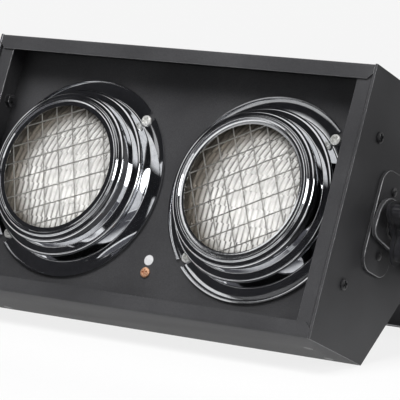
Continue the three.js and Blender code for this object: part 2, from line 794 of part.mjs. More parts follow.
for (const [side, mirror] of [["left", -1], ["right", 1]]) {
  const end = subgroup(upright, 0, 0, 0);
  end.scale.x = mirror;
  add(end, `end_plate_${side}`, endPlate(), "coat");
  add(end, `side_panel_${side}`, sidePanel(), "coat");
  add(end, `pivot_plate_${side}`, pivotPlate(), "coat");
  ["lower", "upper"].forEach((level, i) => {
    const boltSeat = [sideOuter + fit.seat, ...sideBoltPlaces[i]];
    const rivetSeat = [plateOuter + fit.seat, ...rivetPlaces[i]];
    add(end, `side_bolt_${level}_${side}`, toLeft(panScrew(sideBolt)), "coat", boltSeat);
    add(end, `pivot_rivet_${level}_${side}`, toLeft(pivotRivet()), "coat", rivetSeat);
  });
  const axis = subgroup(end, 0, pivot.set, middle);
  const fibre = pivotRing(pivot.fibreRadius, pivot.fibre);
  const washer = pivotRing(pivot.washerRadius, pivot.washer);
  add(axis, `tilt_bolt_${side}`, toRight(tiltBolt()), "steel", [endInner - fit.seat, 0, 0]);
  add(axis, `fibre_washer_${side}`, fibre, "fibre", [fibreInner, 0, 0]);
  add(axis, `steel_washer_${side}`, washer, "steel", [washerInner, 0, 0]);
  add(axis, `tilt_knob_${side}`, tiltKnob(), "plastic", [knobInner, 0, 0]);
}

add(upright, "yoke", yokeBar(), "coat", [0, pivot.set, middle]).rotation.x = -yoke.drop;

const cableEntry = subgroup(upright, 0, housing.backDepth, entryHeight);
add(cableEntry, "gland_body", glandBody(), "plastic");
add(cableEntry, "gland_cap", glandCap(), "plastic");
add(cableEntry, "gland_nut", glandNut(), "plastic");

add(upright, "terminal_block", terminalStrip(), "ceramic");
for (const [side, sign] of [["left", -1], ["right", 1]]) {
  for (const [place, pole, post] of [["inner", 0.5, -0.5], ["outer", 1.5, 0.5]]) {
    const postX = sign * (lampX + post * lamp.postSpacing);
    add(upright, `lamp_lead_${place}_${side}`, lampLead(sign * pole, postX), "sleeve");
  }
}

// The stance: the rear edge of the floor and the lower corner of the cross bar on the ground.
const barCorner = new THREE.Vector3(0, yoke.reach + yoke.thickness, -yoke.width / 2)
  .applyAxisAngle(new THREE.Vector3(1, 0, 0), -yoke.drop)
  .add(new THREE.Vector3(0, pivot.set, middle));
upright.rotation.x = -Math.atan2(barCorner.z, barCorner.y - housing.floorDepth);

// The origin is under the middle of the whole part, on the ground.
const bounds = new THREE.Box3().setFromObject(upright, true);
const centre = bounds.getCenter(new THREE.Vector3());
upright.position.set(-centre.x, -centre.y, -bounds.min.z);

const blinder = new THREE.Group();
blinder.add(upright);

export default blinder;
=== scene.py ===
# Looks for an audience blinder light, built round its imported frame.
# Pieces are worked out in millimetres in the upright housing: x across from the middle, y from
# the front plane to the back, z up from the floor. placed() leans them back and turns them to
# metres, so each finished piece sits in the frame with its object at the origin.
import json
import math

import bmesh
import bpy
import numpy as np
from mathutils import Matrix, Vector

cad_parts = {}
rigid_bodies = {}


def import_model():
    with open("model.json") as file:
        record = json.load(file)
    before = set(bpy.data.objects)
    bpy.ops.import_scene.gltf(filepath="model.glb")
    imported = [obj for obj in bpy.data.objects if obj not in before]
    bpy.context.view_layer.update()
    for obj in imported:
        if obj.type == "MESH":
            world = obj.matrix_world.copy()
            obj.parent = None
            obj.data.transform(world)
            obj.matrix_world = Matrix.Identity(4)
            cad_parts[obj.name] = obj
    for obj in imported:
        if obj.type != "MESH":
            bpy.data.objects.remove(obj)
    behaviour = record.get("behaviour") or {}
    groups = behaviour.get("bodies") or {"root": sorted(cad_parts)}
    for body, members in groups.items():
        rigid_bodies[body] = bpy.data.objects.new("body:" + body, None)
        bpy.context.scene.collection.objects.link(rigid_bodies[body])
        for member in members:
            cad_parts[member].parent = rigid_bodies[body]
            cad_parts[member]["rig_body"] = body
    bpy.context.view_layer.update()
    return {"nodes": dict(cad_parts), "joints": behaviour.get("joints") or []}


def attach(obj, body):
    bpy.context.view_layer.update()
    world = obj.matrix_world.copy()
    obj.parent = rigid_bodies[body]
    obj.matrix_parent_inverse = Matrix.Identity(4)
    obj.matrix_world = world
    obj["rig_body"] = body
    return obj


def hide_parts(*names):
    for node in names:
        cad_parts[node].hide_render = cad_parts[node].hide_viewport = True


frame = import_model()
nodes = frame["nodes"]
print("frame loaded:", len(nodes), "nodes")

sides = (("left", -1), ("right", 1))
levels = (("lower", -1), ("upper", 1))

housing = {
    "lean": 21.0024,  # degrees that the housing leans back
    "tiltAxis": (64.0, 109.5),  # y and z of the tilt axis
    "recess": 33.0,  # front plane to the lamp panel
    "middle": 109.5,
    "lampX": 91.3,
    "sideOuter": 186.0,
    "plateOuter": 189.3,
    "knobInner": 198.0,
    "flangeFront": 31.7,
    "seat": 0.3,  # clearance under a head
}

tiltJoint = next(joint for joint in frame["joints"] if joint["name"] == "yoke_tilt")
leanAngle = -math.radians(housing["lean"])
toFrame = np.array(
    Matrix.Translation(Vector(tiltJoint["pos_m"]))
    @ Matrix.Rotation(leanAngle, 4, "X")
    @ Matrix.Scale(0.001, 4)
    @ Matrix.Translation(Vector((0, -housing["tiltAxis"][0], -housing["tiltAxis"][1])))
)


def placed(points):
    # turns and scales housing millimetres to frame metres
    flat = np.asarray(points, float).reshape(-1, 3)
    return flat @ toFrame[:3, :3].T + toFrame[:3, 3]


def linked(name, data):
    # a new object at the origin, in the scene
    thing = bpy.data.objects.new(name, data)
    bpy.context.scene.collection.objects.link(thing)
    return thing


def roundAngles(count):
    return np.arange(count) * 2 * math.pi / count


def gridFaces(rows, columns, closeRows, closeColumns):
    # quads between neighbouring grid points, wrapping round where a direction is closed
    i = np.arange(rows if closeRows else rows - 1)
    j = np.arange(columns if closeColumns else columns - 1)
    i, j = np.meshgrid(i, j, indexing="ij")
    nextI, nextJ = (i + 1) % rows, (j + 1) % columns
    corners = [i * columns + j, nextI * columns + j, nextI * columns + nextJ, i * columns + nextJ]
    return np.stack(corners, axis=-1).reshape(-1, 4)


def shadeSmooth(mesh, sharpAngle):
    mesh.shade_smooth()
    mesh.set_sharp_from_angle(angle=math.radians(sharpAngle))


def pieceFromGrids(name, grids, material, body="housing", sharpAngle=35):
    # one closed piece from several grids, each given as (points, close rows, close columns):
    # doubled points are merged, faces turned outwards, and the piece rides on a body
    points, faces, start = [], [], 0
    for grid, closeRows, closeColumns in grids:
        rows, columns = grid.shape[:2]
        points.append(grid.reshape(-1, 3))
        faces.append(gridFaces(rows, columns, closeRows, closeColumns) + start)
        start += rows * columns
    mesh = bpy.data.meshes.new(name)
    mesh.from_pydata(placed(np.concatenate(points)).tolist(), [], np.concatenate(faces).tolist())
    mesh.update()
    work = bmesh.new()
    work.from_mesh(mesh)
    bmesh.ops.remove_doubles(work, verts=work.verts, dist=2e-6)
    bmesh.ops.dissolve_degenerate(work, edges=work.edges, dist=1e-6)
    bmesh.ops.recalc_face_normals(work, faces=work.faces)
    work.to_mesh(mesh)
    work.free()
    shadeSmooth(mesh, sharpAngle)
    mesh.materials.append(material)
    piece = linked(name, mesh)
    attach(piece, body)
    return piece


def revolved(profile, segments, centre=(0, 0, 0)):
    # radius and y of a profile swept about the y axis: (r cos a, y, r sin a)
    profile = np.asarray(profile, float)
    angle = roundAngles(segments)
    r, y = profile[:, 0:1], profile[:, 1:2]
    grid = np.stack([r * np.cos(angle), y + 0 * angle, r * np.sin(angle)], axis=-1)
    return grid + np.asarray(centre, float)


def turned(a, b, angle):
    # (a, b) turned in its plane
    return a * math.cos(angle) - b * math.sin(angle), a * math.sin(angle) + b * math.cos(angle)


def roundedPath(corners, steps=5):
    # corners of (a, b, radius): a tangent arc replaces each corner that has a radius
    path = []
    for index, corner in enumerate(corners):
        here = np.array(corner[:2], float)
        radius = corner[2] if len(corner) > 2 else 0
        if not radius or index in (0, len(corners) - 1):
            path.append(here)
            continue
        back = np.array(corners[index - 1][:2], float) - here
        on = np.array(corners[index + 1][:2], float) - here
        back, on = back / np.linalg.norm(back), on / np.linalg.norm(on)
        half = math.acos(np.clip(back @ on, -1, 1)) / 2
        centre = here + (back + on) / np.linalg.norm(back + on) * radius / math.sin(half)
        a = here + back * radius / math.tan(half) - centre
        b = here + on * radius / math.tan(half) - centre
        turn = np.linspace(0, math.atan2(a[0] * b[1] - a[1] * b[0], a @ b), steps + 1)
        c, s = np.cos(turn), np.sin(turn)
        arc = np.stack([a[0] * c - a[1] * s, a[0] * s + a[1] * c], -1)
        path.extend(list(arc + centre))
    return np.array(path)


def sheetSection(path, wall):
    # the path as one face of a sheet, with the wall on its left
    along = np.diff(path, axis=0)
    normal = np.stack([-along[:, 1], along[:, 0]], -1) / np.linalg.norm(along, axis=1)[:, None]
    before, after = np.vstack([normal[:1], normal]), np.vstack([normal, normal[-1:]])
    mitre = before + after
    mitre /= np.linalg.norm(mitre, axis=1)[:, None]
    other = path + mitre * wall / np.sum(mitre * before, axis=1)[:, None]
    return np.vstack([path, other[::-1]])


def wireTube(path, radius, sides=12):
    # a round section carried along a path across the y axis, its ends drawn in to a point
    tangent = np.gradient(path, axis=0)
    tangent /= np.linalg.norm(tangent, axis=1)[:, None]
    side = np.cross(tangent, [0, 1, 0])
    side /= np.linalg.norm(side, axis=1)[:, None]
    up = np.cross(side, tangent)
    angle = roundAngles(sides)[None, :, None]
    body = path[:, None] + radius * (np.cos(angle) * side[:, None] + np.sin(angle) * up[:, None])
    ends = [np.broadcast_to(path[end], (1, sides, 3)) for end in (0, -1)]
    return np.concatenate([ends[0], body, ends[1]])


def newGroup(name, inputs, outputs):
    group = bpy.data.node_groups.new(name, "ShaderNodeTree")
    for socketName, value in inputs:
        socket = group.interface.new_socket(socketName, in_out="INPUT", socket_type="NodeSocketFloat")
        socket.default_value = value
    for socketName, kind in outputs:
        group.interface.new_socket(socketName, in_out="OUTPUT", socket_type=kind)
    return group, group.nodes.new("NodeGroupInput"), group.nodes.new("NodeGroupOutput")


def setSockets(node, values):
    for socketName, value in values.items():
        node.inputs[socketName].default_value = value


def mathNode(tree, operation, a, b=None):
    # a and b are sockets or numbers
    node = tree.nodes.new("ShaderNodeMath")
    node.operation = operation
    for socket, value in zip(node.inputs, (a, b)):
        if isinstance(value, (int, float)):
            socket.default_value = value
        elif value is not None:
            tree.links.new(value, socket)
    return node.outputs[0]


def vectorNode(tree, operation, vector, other, output):
    node = tree.nodes.new("ShaderNodeVectorMath")
    node.operation = operation
    tree.links.new(vector, node.inputs[0])
    node.inputs[1].default_value = other
    return node.outputs[output]


def smoothStep(tree, value, low, high):
    # rises smoothly from 0 to 1 as the value goes from low to high, or falls where high < low
    step = tree.nodes.new("ShaderNodeMapRange")
    step.interpolation_type = "SMOOTHSTEP"
    ends = (1, 0) if high < low else (0, 1)
    low, high = sorted((low, high))
    setSockets(step, {"From Min": low, "From Max": high, "To Min": ends[0], "To Max": ends[1]})
    tree.links.new(value, step.inputs["Value"])
    return step.outputs["Result"]


def colourMix(tree, share, a, b):
    # a turns into b as the share rises; each is a colour or a socket
    mix = tree.nodes.new("ShaderNodeMix")
    mix.data_type = "RGBA"
    tree.links.new(share, mix.inputs["Factor"])
    for socket, value in ((mix.inputs["A"], a), (mix.inputs["B"], b)):
        if isinstance(value, tuple):
            socket.default_value = (*value, 1)
        else:
            tree.links.new(value, socket)
    return mix.outputs["Result"]


def shaderMix(tree, share, first, second, out):
    # the first shader turns into the second as the share rises, and goes to the output
    mix = tree.nodes.new("ShaderNodeMixShader")
    tree.links.new(share, mix.inputs["Fac"])
    tree.links.new(first.outputs[0], mix.inputs[1])
    tree.links.new(second.outputs[0], mix.inputs[2])
    tree.links.new(mix.outputs[0], out.inputs["Surface"])


def newMaterial(name):
    material = bpy.data.materials.new(name)
    material.use_nodes = True
    tree = material.node_tree
    return material, tree, next(node for node in tree.nodes if node.type == "BSDF_PRINCIPLED")


def materialOutput(tree):
    return next(node for node in tree.nodes if node.type == "OUTPUT_MATERIAL")


grain = {
    "fineDetail": 2.0,
    "broadScale": 14.0,
    "broadDetail": 4.0,
    "toneFrom": 0.15,  # where the dark tone ends on the mask
    "toneTo": 0.4,  # where the light tone begins
    "height": 0.0002,
}


def grainGroup():
    # fine grain of a powder coat or moulding: colour mask, roughness and height
    group, entry, out = newGroup(
        "surfaceGrain",
        [("Scale", 900.0), ("Low", 0.4), ("High", 0.6)],
        [(name, "NodeSocketFloat") for name in ("Mask", "Roughness", "Height")],
    )
    place = group.nodes.new("ShaderNodeTexCoord")
    fine, broad = (group.nodes.new("ShaderNodeTexNoise") for _ in range(2))
    setSockets(fine, {"Detail": grain["fineDetail"]})
    setSockets(broad, {"Scale": grain["broadScale"], "Detail": grain["broadDetail"]})
    blend = group.nodes.new("ShaderNodeMapRange")
    mask = mathNode(group, "MULTIPLY", fine.outputs["Fac"], broad.outputs["Fac"])
    for socket, entrance in (
        (place.outputs["Object"], fine.inputs["Vector"]),
        (place.outputs["Object"], broad.inputs["Vector"]),
        (entry.outputs["Scale"], fine.inputs["Scale"]),
        (broad.outputs["Fac"], blend.inputs["Value"]),
        (entry.outputs["Low"], blend.inputs["To Min"]),
        (entry.outputs["High"], blend.inputs["To Max"]),
        (mask, out.inputs["Mask"]),
        (blend.outputs["Result"], out.inputs["Roughness"]),
        (fine.outputs["Fac"], out.inputs["Height"]),
    ):
        group.links.new(socket, entrance)
    return group


surfaceGrain = grainGroup()


def grainyMaterial(name, dark, light, scale, low, high, bump, metallic=0.0, specular=0.5, lacquer=0.0):
    # two close tones mixed by the grain, with its own roughness spread and bump
    material, tree, shader = newMaterial(name)
    pattern = tree.nodes.new("ShaderNodeGroup")
    pattern.node_tree = surfaceGrain
    setSockets(pattern, {"Scale": scale, "Low": low, "High": high})
    tone = tree.nodes.new("ShaderNodeValToRGB")
    for element, position, colour in zip(
        tone.color_ramp.elements, (grain["toneFrom"], grain["toneTo"]), (dark, light)
    ):
        element.position, element.color = position, (*colour, 1)
    height = tree.nodes.new("ShaderNodeBump")
    setSockets(height, {"Strength": bump, "Distance": grain["height"]})
    for socket, entrance in (
        (pattern.outputs["Mask"], tone.inputs["Fac"]),
        (tone.outputs["Color"], shader.inputs["Base Color"]),
        (pattern.outputs["Roughness"], shader.inputs["Roughness"]),
        (pattern.outputs["Height"], height.inputs["Height"]),
        (height.outputs["Normal"], shader.inputs["Normal"]),
    ):
        tree.links.new(socket, entrance)
    setSockets(shader, {"Metallic": metallic, "Specular IOR Level": specular})
    setSockets(shader, {"Coat Weight": lacquer, "Coat Roughness": 0.2})
    return material


# dark tone, light tone, grain scale, roughness from and to, bump; then metallic, specular, lacquer
finishes = {
    "powderCoat": ((0.034, 0.034, 0.036), (0.062, 0.062, 0.065), 1500, 0.44, 0.58, 0.35, 0.0, 0.25),
    # painted highlight: the bevelled edges get a much lighter tone than the coat, with a glossy metallic
    # finish that also catches real glints
    "edgeGlossPaintedHighlight": ((0.22, 0.22, 0.226), (0.38, 0.38, 0.388), 1100, 0.24, 0.32, 0.2, 0.7),
    "blackSteel": ((0.012, 0.012, 0.013), (0.03, 0.03, 0.032), 700, 0.28, 0.42, 0.2),
    "chromePlate": ((0.72, 0.73, 0.75), (0.84, 0.85, 0.87), 260, 0.02, 0.05, 0.02, 1.0),
    "zincPlate": ((0.5, 0.5, 0.5), (0.72, 0.72, 0.71), 500, 0.2, 0.34, 0.1, 1.0),
    "nickelPlate": ((0.7, 0.7, 0.68), (0.9, 0.9, 0.88), 420, 0.16, 0.28, 0.12, 0.5),
    "guardWire": ((0.5, 0.49, 0.47), (0.66, 0.65, 0.62), 600, 0.22, 0.36, 0.08, 1.0),
    "copperScrew": ((0.55, 0.27, 0.15), (0.86, 0.52, 0.34), 700, 0.2, 0.32, 0.1, 0.55),
    "knobPlastic": ((0.012, 0.012, 0.014), (0.024, 0.024, 0.027), 800, 0.24, 0.34, 0.12, 0.0, 0.6, 0.8),
    "pressedFibre": ((0.03, 0.027, 0.024), (0.06, 0.05, 0.045), 900, 0.7, 0.85, 0.4),
    "glazedCeramic": ((0.6, 0.58, 0.5), (0.74, 0.72, 0.64), 300, 0.2, 0.3, 0.05),
    "wovenSleeve": ((0.42, 0.38, 0.3), (0.68, 0.64, 0.54), 1600, 0.75, 0.9, 0.6),
    "discWhite": ((0.58, 0.58, 0.59), (0.68, 0.68, 0.69), 400, 0.4, 0.5, 0.05),
    "aluminisedBowl": ((0.72, 0.7, 0.66), (0.86, 0.85, 0.81), 90, 0.1, 0.18, 0.05, 1.0),
}
finish = {name: grainyMaterial(name, *values) for name, values in finishes.items()}

lamp = {
    "radius": 57.15,
    "front": 5.74,
    "rim": 3.0,
    "crown": 1.1,
    "flutePitch": 5.1,
    "fluteDepth": 1.5,
    "fluteFade": 3.0,  # the flutes run out over this width at the rim
    "rowHeight": 14.0,
    "rowShift": 0.31,
    "bow": 0.0067,  # how fast the flutes bend over above bowFrom
    "bowFrom": 10.0,  # below the lamp's middle
    "bowlFront": 9.04,
    "bowl": 50.0,
    "bowlRadius": 54.15,
    "wall": 1.6,
    "neck": 14.0,
    "neckLength": 8.0,
    "neckBend": 2.0,
    "skin": 0.4,  # faces deeper than this behind the front are pressed glass
    "spokes": 360,
    "domeRings": 96,
    "backRings": 110,
    "bowlSpokes": 128,
    "insideRings": 48,
    "outsideRings": 32,
}

fluteLook = {
    "line": (0.165, 0.09),  # where a line begins and is full, as shares of the pitch
    "paintedBrightCentre": (14.0, -6.0),  # painted highlight: the bright middle of the bowl's reflection, painted into the glass colour, from the lamp's axis
    "shade": (40, 60),  # painted shade: the glass colour turns dark between these distances from it
    "strong": (14, 42),  # the lines grow between these
    "least": 0.32,
    "more": 0.6,
    # the glass colour at the painted highlight, the painted shade tone, and the painted shade of the flute
    # lines where refraction turns dark
    "glass": (0.99, 0.985, 0.965),
    "dark": (0.17, 0.15, 0.125),
    "paintedLineShade": (0.05, 0.045, 0.035),
}


def paintedFluteLight():
    # painted shade and highlight: thin dark lines where the pressed flutes meet, painted shade where
    # refraction turns dark, stronger away from a painted highlight at the bright middle of the bowl, with
    # the glass colour painted darker further from it; u and v are millimetres from the lamp's axis, worked
    # out from the frame's metres
    p, look = lamp, fluteLook
    group, _, out = newGroup("paintedFluteLightLines", [], [("Color", "NodeSocketColor")])

    def calc(operation, a, b=None):
        return mathNode(group, operation, a, b)

    place = group.nodes.new("ShaderNodeTexCoord")
    fromPivot = vectorNode(group, "SUBTRACT", place.outputs["Object"], tiltJoint["pos_m"], "Vector")
    c, s = 1000 * math.cos(leanAngle), 1000 * math.sin(leanAngle)
    x = vectorNode(group, "DOT_PRODUCT", fromPivot, (1000, 0, 0), "Value")
    v = vectorNode(group, "DOT_PRODUCT", fromPivot, (0, -s, c), "Value")
    u = calc("SUBTRACT", x, calc("MULTIPLY", calc("SIGN", x), housing["lampX"]))
    up = calc("MAXIMUM", calc("ADD", v, p["bowFrom"]), 0.0)
    bow = calc("MULTIPLY", calc("MULTIPLY", up, up), -p["bow"])
    row = calc("FLOOR", calc("DIVIDE", v, p["rowHeight"]))
    turns = calc("DIVIDE", calc("ADD", u, bow), p["flutePitch"])
    wave = calc("ADD", turns, calc("MULTIPLY", row, p["rowShift"]))
    away = calc("ABSOLUTE", calc("SUBTRACT", calc("FRACT", wave), 0.5))
    line = smoothStep(group, away, *look["line"])
    aside = calc("POWER", calc("SUBTRACT", u, look["paintedBrightCentre"][0]), 2.0)
    rise = calc("POWER", calc("SUBTRACT", v, look["paintedBrightCentre"][1]), 2.0)
    reach = calc("SQRT", calc("ADD", aside, rise))
    strength = calc("MULTIPLY", smoothStep(group, reach, *look["strong"]), look["more"])
    share = calc("MULTIPLY", line, calc("ADD", strength, look["least"]))
    # painted shade: the glass colour darkens away from the painted highlight
    tone = colourMix(group, smoothStep(group, reach, *look["shade"]), look["glass"], look["dark"])
    # painted shade: the dark flute lines laid over it
    group.links.new(colourMix(group, share, tone, look["paintedLineShade"]), out.inputs["Color"])
    return group


glass = {
    "roughness": 0.06,
    "ior": 1.47,
    "clear": 1.0,  # transmission of the smooth front
    "pressed": 0.3,  # and of the fluted back
    "alpha": 0.2,
    "tint": (0.97, 0.97, 0.95, 1),
}


def glassMaterial(name, transmission):
    material, tree, shader = newMaterial(name)
    setSockets(shader, {"Roughness": glass["roughness"], "IOR": glass["ior"]})
    shader.inputs["Transmission Weight"].default_value = transmission
    return material, tree, shader


def frontGlass():
    material, _, shader = glassMaterial("lampGlassFront", glass["clear"])
    setSockets(shader, {"Alpha": glass["alpha"], "Base Color": glass["tint"]})
    return material


def backGlass():
    material, tree, shader = glassMaterial("lampGlassPressed", glass["pressed"])
    # the base colour carries a painted highlight, painted shade and painted dark flute lines
    lines = tree.nodes.new("ShaderNodeGroup")
    lines.node_tree = paintedFluteLight()
    tree.links.new(lines.outputs["Color"], shader.inputs["Base Color"])
    return material


clearGlass, pressedGlass = frontGlass(), backGlass()
print("materials ready")

# sheet metal: widths in metres, angles in degrees
sheetEdge = {"sheet": 0.0005, "plate": 0.0008, "segments": 3, "sharp": 32, "flat": 1, "merge": 1e-5}
thickNodes = ("side", "pivot", "yoke")
sheetNodes = ["roof_shell", "floor_shell", "rear_cover", "lamp_panel", "yoke"]
sheetNodes += [f"{kind}_{side}" for kind in ("end_plate", "side_panel", "pivot_plate") for side, _ in sides]


def softenedSheet(node):
    # a merged copy of a node with its edges rounded off, in its place; the rounded edges take a lighter,
    # glossy metallic finish: a painted highlight along every edge, plus real glints from the lamps
    edge = sheetEdge
    mesh = nodes[node].data.copy()
    mesh.name = node + "_shaped"
    work = bmesh.new()
    work.from_mesh(mesh)
    bmesh.ops.remove_doubles(work, verts=work.verts, dist=edge["merge"])
    bmesh.ops.dissolve_limit(
        work, angle_limit=math.radians(edge["flat"]), verts=work.verts, edges=work.edges
    )
    work.to_mesh(mesh)
    work.free()
    shadeSmooth(mesh, edge["sharp"])
    mesh.materials.clear()
    mesh.materials.append(finish["powderCoat"])
    mesh.materials.append(finish["edgeGlossPaintedHighlight"])
    piece = linked(mesh.name, mesh)
    rounding = piece.modifiers.new("edges", "BEVEL")
    rounding.width = edge["plate" if node.startswith(thickNodes) else "sheet"]
    rounding.segments = edge["segments"]
    rounding.limit_method = "ANGLE"
    rounding.angle_limit = math.radians(edge["sharp"])
    rounding.harden_normals = True
    # the bevel faces take the lighter edge finish, a painted highlight
    rounding.material = 1
    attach(piece, nodes[node]["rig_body"])
    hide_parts(node)


for node in sheetNodes:
    softenedSheet(node)
print("sheets softened")

# nodes whose shape stays: starts of their names, finish and slot
dressedNodes = (
    (("roof_screw", "floor_screw"), "blackSteel", "black_steel"),
    (("tilt_bolt", "steel_washer", "lamp_keeper"), "zincPlate", "steel"),
    (("fibre_washer",), "pressedFibre", "fibre"),
    (("lamp_lead",), "wovenSleeve", "lead_sleeve"),
    (("lamp_base", "terminal_block"), "glazedCeramic", "ceramic"),
    (("gland",), "knobPlastic", "gland_plastic"),
)
for starts, look, slot in dressedNodes:
    for name in nodes:
        if name.startswith(starts):
            nodes[name].data.materials.clear()
            nodes[name].data.materials.append(finish[look])

bezel = {
    "mouth": 52.5,
    "bead": 59.6,
    "first": 64.6,
    "second": 72.0,
    "flange": 85.2,
    "front": -0.3,  # y of the crest of the front bead
    "height": 32.0,
    "wall": 1.0,
    "lip": 1.0,  # how far the mouth stands behind the crest
    "crest": (3.4, 2.4),  # the crest's slope, inwards from the bead
    "firstDepth": 2.2,
    "secondDepth": 15.8,
    "hem": 1.8,
    "foot": 2.4,  # radius where a step meets the next wall
    "dish": 0.6,  # how far the flange's inner edge stands forward of its outer one
    "segments": 256,
    "screwSet": 4.9,
    "notch": 3.9,
    "notchLength": 12.0,
    "notchSteps": 17,
    "cut": (24.0, 40.0),  # y of the notches' two ends
}
screwReach = (bezel["second"] + bezel["screwSet"]) / math.sqrt(2)


def keyholeCutter(across, upward, lampX):
    # a round hole with a slot that runs out over the rim, straight through the flange
    b = bezel
    turn = np.linspace(math.pi / 2, 3 * math.pi / 2, b["notchSteps"])
    outline = b["notch"] * np.stack([np.cos(turn), np.sin(turn)], -1)
    far, half = b["notchLength"], b["notch"]
    outline = np.vstack([[far, half], outline, [far, -half]])
    x, z = turned(outline[:, 0], outline[:, 1], math.atan2(upward, across))
    x, z = x + across + lampX, z + upward + housing["middle"]
    points = np.concatenate([np.stack([x, np.full_like(x, y), z], -1) for y in b["cut"]])
    count = len(outline)
    faces = [[i, (i + 1) % count, count + (i + 1) % count, count + i] for i in range(count)]
    faces += [list(range(count)), list(range(2 * count - 1, count - 1, -1))]
    mesh = bpy.data.meshes.new("keyholeCutter")
    mesh.from_pydata(placed(points).tolist(), [], faces)
    work = bmesh.new()
    work.from_mesh(mesh)
    bmesh.ops.recalc_face_normals(work, faces=work.faces)
    work.to_mesh(mesh)
    work.free()
    return linked("keyholeCutter", mesh)


def bezelPiece(side, x):
    # a spun sheet in two steps with a beaded mouth and a dished flange, notched under its screws
    b = bezel
    f, edge = b["front"], b["flange"] - b["wall"]
    flangeLevel = f + b["height"]
    corners = [
        (b["mouth"], f + b["lip"]),
        (b["bead"] - b["crest"][0], f + b["lip"], 0.5),
        (b["bead"] - b["crest"][1], f, 0.5),
        (b["bead"], f, 1.0),
        (b["bead"], f + b["firstDepth"], 0.6),
        (b["first"], f + b["firstDepth"], b["foot"]),
        (b["first"], f + b["secondDepth"], 0.7),
        (b["second"], f + b["secondDepth"], b["foot"]),
        (b["second"], flangeLevel - b["dish"], 1.0),
        (edge, flangeLevel, 0.4),
        (edge, flangeLevel - b["hem"]),
    ]
    section = sheetSection(roundedPath(corners), b["wall"])
    grid = revolved(section, b["segments"], (x, 0, housing["middle"]))
    piece = pieceFromGrids(f"bezel_{side}_spun", [(grid, True, True)], finish["chromePlate"])
    cutters = [keyholeCutter(sign * screwReach, sign * screwReach, x) for _, sign in levels]
    for cutter in cutters:
        hole = piece.modifiers.new("keyhole", "BOOLEAN")
        hole.operation, hole.solver, hole.object = "DIFFERENCE", "EXACT", cutter
    bpy.context.view_layer.update()
    dependencies = bpy.context.evaluated_depsgraph_get()
    notched = bpy.data.meshes.new_from_object(piece.evaluated_get(dependencies))
    piece.modifiers.clear()
    piece.data = notched
    shadeSmooth(notched, 35)
    for cutter in cutters:
        bpy.data.objects.remove(cutter)
    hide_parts(f"bezel_{side}")


def backOf(piece, material, depth):
    # gives the faces deeper than a depth in the housing a second material
    mesh = piece.data
    mesh.materials.append(material)
    centres = np.empty(len(mesh.polygons) * 3)
    mesh.polygons.foreach_get("center", centres)
    fromFrame = np.linalg.inv(toFrame)
    y = centres.reshape(-1, 3) @ fromFrame[1, :3] + fromFrame[1, 3]
    mesh.polygons.foreach_set("material_index", (y > depth).astype(int).tolist())


def lensPiece(side, x):
    # the front is a shallow dome; the back carries wavy upright flutes, a cosine across x whose
    # phase wanders with z in steps as the pressed rows do
    p, mouth = lamp, bezel["mouth"]
    angle = roundAngles(p["spokes"])
    share = np.linspace(0, 1, p["domeRings"])[:, None]
    r = share * mouth
    y = p["front"] - p["crown"] * (1 - share**2) + 0 * angle
    dome = np.stack([r * np.cos(angle), y, r * np.sin(angle)], -1)
    r = np.linspace(1, 0, p["backRings"])[:, None] * mouth
    across, upward = r * np.cos(angle), r * np.sin(angle)
    row = np.floor(upward / p["rowHeight"]) * p["rowShift"]
    bow = p["bow"] * np.clip(upward + p["bowFrom"], 0, None) ** 2
    wave = (across - bow) / p["flutePitch"] + row
    edge = np.clip((mouth - r) / p["fluteFade"], 0, 1)
    flute = p["fluteDepth"] * edge * (0.5 + 0.5 * np.cos(2 * math.pi * wave))
    back = np.stack([across, p["front"] + p["rim"] - flute, upward], -1)
    rim = revolved([(p["radius"], p["front"]), (p["radius"], p["front"] + p["rim"])], p["spokes"])
    grid = np.concatenate([dome, rim, back]) + np.array([x, 0, housing["middle"]])
    piece = pieceFromGrids(f"lamp_lens_{side}_fluted", [(grid, False, True)], clearGlass, sharpAngle=60)
    backOf(piece, pressedGlass, p["front"] + p["skin"])
    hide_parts(f"lamp_lens_{side}")


def bowlPiece(side, x):
    # a paraboloid, y falling with the square of the radius, with a wall, a flat rim and a neck
    p = lamp
    front, back = p["bowlFront"], p["bowlFront"] + p["rim"]
    share = np.linspace(0, 1, p["insideRings"])
    inside = np.stack([share * (p["bowlRadius"] - p["wall"]), front + p["bowl"] * (1 - share**2)], -1)
    rim = [(p["radius"], front), (p["radius"], back)]
    share = np.linspace(1, p["neck"] / p["bowlRadius"], p["outsideRings"])
    outside = np.stack([share * p["bowlRadius"], back + p["bowl"] * (1 - share**2)], -1)
    end = back + p["bowl"] + p["neckLength"]
    tail = roundedPath([outside[-1], (p["neck"], end, p["neckBend"]), (0, end)], 4)[1:]
    profile = np.vstack([inside, rim, outside, tail])
    grid = revolved(profile, p["bowlSpokes"], (x, 0, housing["middle"]))
    name = f"lamp_reflector_{side}_bowl"
    piece = pieceFromGrids(name, [(grid, False, True)], finish["aluminisedBowl"], sharpAngle=40)
    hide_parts(f"lamp_reflector_{side}")


guard = {
    "wire": 0.52,
    "ring": 1.1,
    "ringRadius": 55.2,
    "pitch": 14.8,
    "pairs": 3,
    "layers": (2.65, 3.69),
    "left": 20.0,  # degrees that the left guard is turned
    "right": 26.0,
    "steps": 24,
    "ringSteps": 160,
    "ringSides": 14,
}


